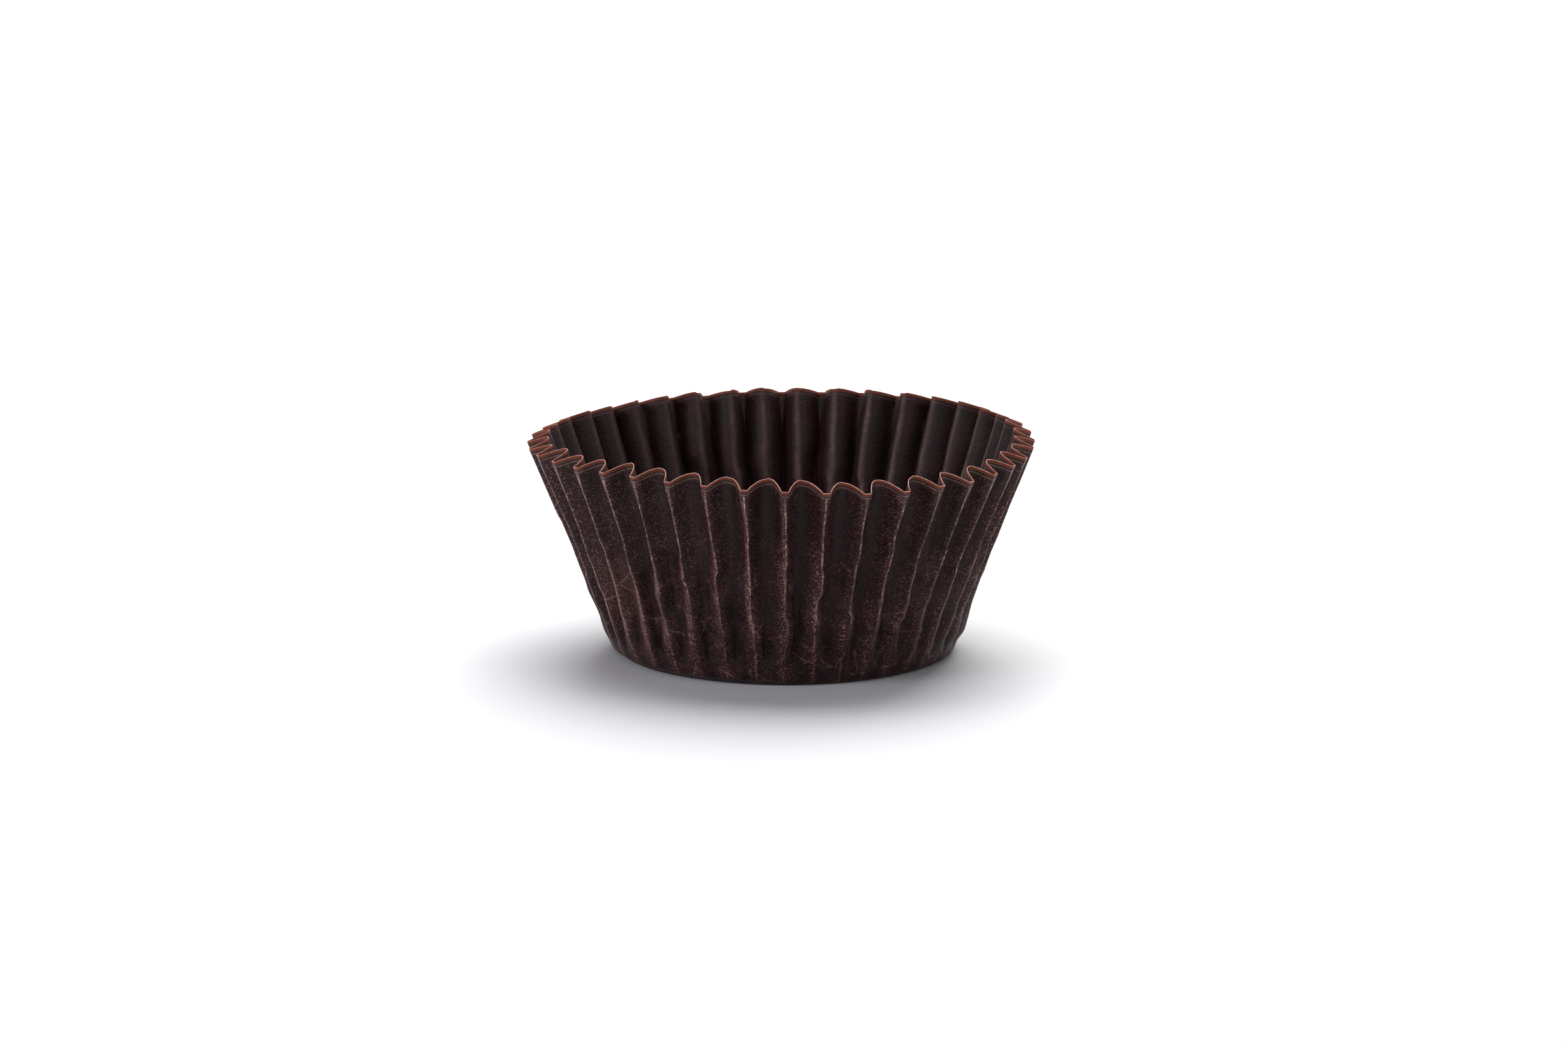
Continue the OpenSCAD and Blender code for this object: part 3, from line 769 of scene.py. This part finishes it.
# The sheet's cut edge: the die shears the fibres, and their torn ends are paler than the dyed face.
# Its pale tone is partly painted highlight, the thin edge drawn as if catching the light.
def cut_paper_edge():
    material, tree, surface = new_material("cut_paper_edge")
    sheet = add(tree, "ShaderNodeAttribute", output="Vector", attribute_name="sheet")
    torn = add(tree, NOISE, {"Vector": sheet, "Scale": 1 / (0.5 * MM), "Detail": 3.0,
                             "Roughness": 0.7})
    torn_share = add(tree, MAP_RANGE, {"Value": torn, "From Min": 0.35, "From Max": 0.65})
    ends = add(tree, MIX, {"Factor": torn_share, "A": colour("#b07c6a"), "B": colour("#e6c4b8")},
               "Result", data_type="RGBA")
    tree.links.new(ends, surface["Base Color"])
    surface["Roughness"].default_value = 0.8
    surface["Specular IOR Level"].default_value = 0.2
    return material


def make_liner(paper, edge):
    """Presses the liner with the Geometry Nodes tree and gives back a plain mesh object."""
    tree = pressed_liner_tree()
    blank = bpy.data.objects.new("liner_blank", bpy.data.meshes.new("liner_blank"))
    bpy.context.scene.collection.objects.link(blank)
    press = blank.modifiers.new("press", "NODES")
    press.node_group = tree
    values = dict(LINER_SIZES)
    values.update({"Flutes": FLUTES, "Seed": SEED, "Paper": paper, "Cut edge": edge})
    for socket in tree.interface.items_tree:
        if socket.in_out == "INPUT":
            press[socket.identifier] = values[socket.name]
    pressed = blank.evaluated_get(bpy.context.evaluated_depsgraph_get())
    mesh = bpy.data.meshes.new_from_object(pressed)
    bpy.data.objects.remove(blank)
    mesh.name = "paper_liner"
    mesh.set_sharp_from_angle(angle=SHARP)
    liner = bpy.data.objects.new("paper_liner", mesh)
    bpy.context.scene.collection.objects.link(liner)
    return liner


# The studio's table: plain matt white. The camera sees it almost pure white, and the light it
# throws up at the cup is that of a greyer one.
def make_floor():
    material, tree, surface = new_material("white_table")
    rays = add(tree, "ShaderNodeLightPath").node.outputs
    seen = add(tree, MATH, {0: rays["Is Camera Ray"], 1: rays["Is Glossy Ray"]},
               operation="MAXIMUM")
    seen = add(tree, MATH, {0: seen, 1: rays["Is Transmission Ray"]}, operation="MAXIMUM")
    tone = add(tree, MIX, {"Factor": seen, "A": colour("#b8b8bc"), "B": colour("#fafafb")},
               "Result", data_type="RGBA")
    tree.links.new(tone, surface["Base Color"])
    surface["Roughness"].default_value = 1.0
    surface["Specular IOR Level"].default_value = 0.0
    mesh = bpy.data.meshes.new("floor")
    corners = [(x * TABLE_HALF, y * TABLE_HALF, TABLE_Z)
               for x, y in ((-1, -1), (1, -1), (1, 1), (-1, 1))]
    mesh.from_pydata(corners, [], [(0, 1, 2, 3)])
    mesh.materials.append(material)
    floor = bpy.data.objects.new("floor", mesh)
    bpy.context.scene.collection.objects.link(floor)


def light_world(strength):
    """A white studio round the table, brighter to the camera than it lights."""
    world = bpy.data.worlds.new("studio")
    world.use_nodes = True
    bpy.context.scene.world = world
    tree = world.node_tree
    rays = add(tree, "ShaderNodeLightPath").node.outputs
    seen = add(tree, MATH, {0: rays["Is Camera Ray"], 1: rays["Is Glossy Ray"]},
               operation="MAXIMUM")
    seen = add(tree, MATH, {0: seen, 1: rays["Is Transmission Ray"]}, operation="MAXIMUM")
    level = add(tree, MAP_RANGE, {"Value": seen, "To Min": strength, "To Max": 1.0})
    sky = tree.nodes["Background"].inputs
    sky["Color"].default_value = (1.0, 1.0, 1.0, 1.0)
    tree.links.new(level, sky["Strength"])


def softbox(name, bearing, elevation, distance, size, radiance, tint):
    """A softbox that faces the middle of the cup's base."""
    lamp = bpy.data.lights.new(name, "AREA")
    lamp.color = tint
    lamp.shape = "RECTANGLE"
    lamp.size, lamp.size_y = size
    lamp.energy = radiance * math.pi * size[0] * size[1]
    b, e = math.radians(bearing), math.radians(elevation)
    way = Vector((math.sin(b) * math.cos(e), -math.cos(b) * math.cos(e), math.sin(e)))
    light = bpy.data.objects.new(name, lamp)
    light.location = way * distance
    light.rotation_euler = way.to_track_quat("Z", "Y").to_euler()
    bpy.context.scene.collection.objects.link(light)


def make_camera():
    """A long lens, tilted down at the cup, with the base's centre on its pixel in the frame."""
    data = bpy.data.cameras.new("camera")
    data.sensor_width = SENSOR_W
    data.lens = SENSOR_W * PX_PER_M * CAMERA_DISTANCE / PHOTO_W
    data.clip_start = 0.05
    camera = bpy.data.objects.new("camera", data)
    right = Vector((1, 0, 0))
    up = Vector((0, math.sin(CAMERA_TILT), math.cos(CAMERA_TILT)))
    ahead = Vector((0, math.cos(CAMERA_TILT), -math.sin(CAMERA_TILT)))
    aside = (PHOTO_W / 2 - CENTRE_PX[0]) / PX_PER_M
    above = (CENTRE_PX[1] - PHOTO_H / 2) / PX_PER_M
    camera.location = right * aside + up * above - ahead * CAMERA_DISTANCE
    camera.rotation_euler = (math.pi / 2 - CAMERA_TILT, 0, 0)
    bpy.context.scene.collection.objects.link(camera)
    bpy.context.scene.camera = camera


make_camera()
make_floor()
light_world(STUDIO_LIGHT)
for name, facts in SOFTBOXES.items():
    softbox(name, *facts)

liner = make_liner(greaseproof_paper(), cut_paper_edge())
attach(liner, "root")
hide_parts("liner")

bpy.context.scene.view_settings.view_transform = "Standard"
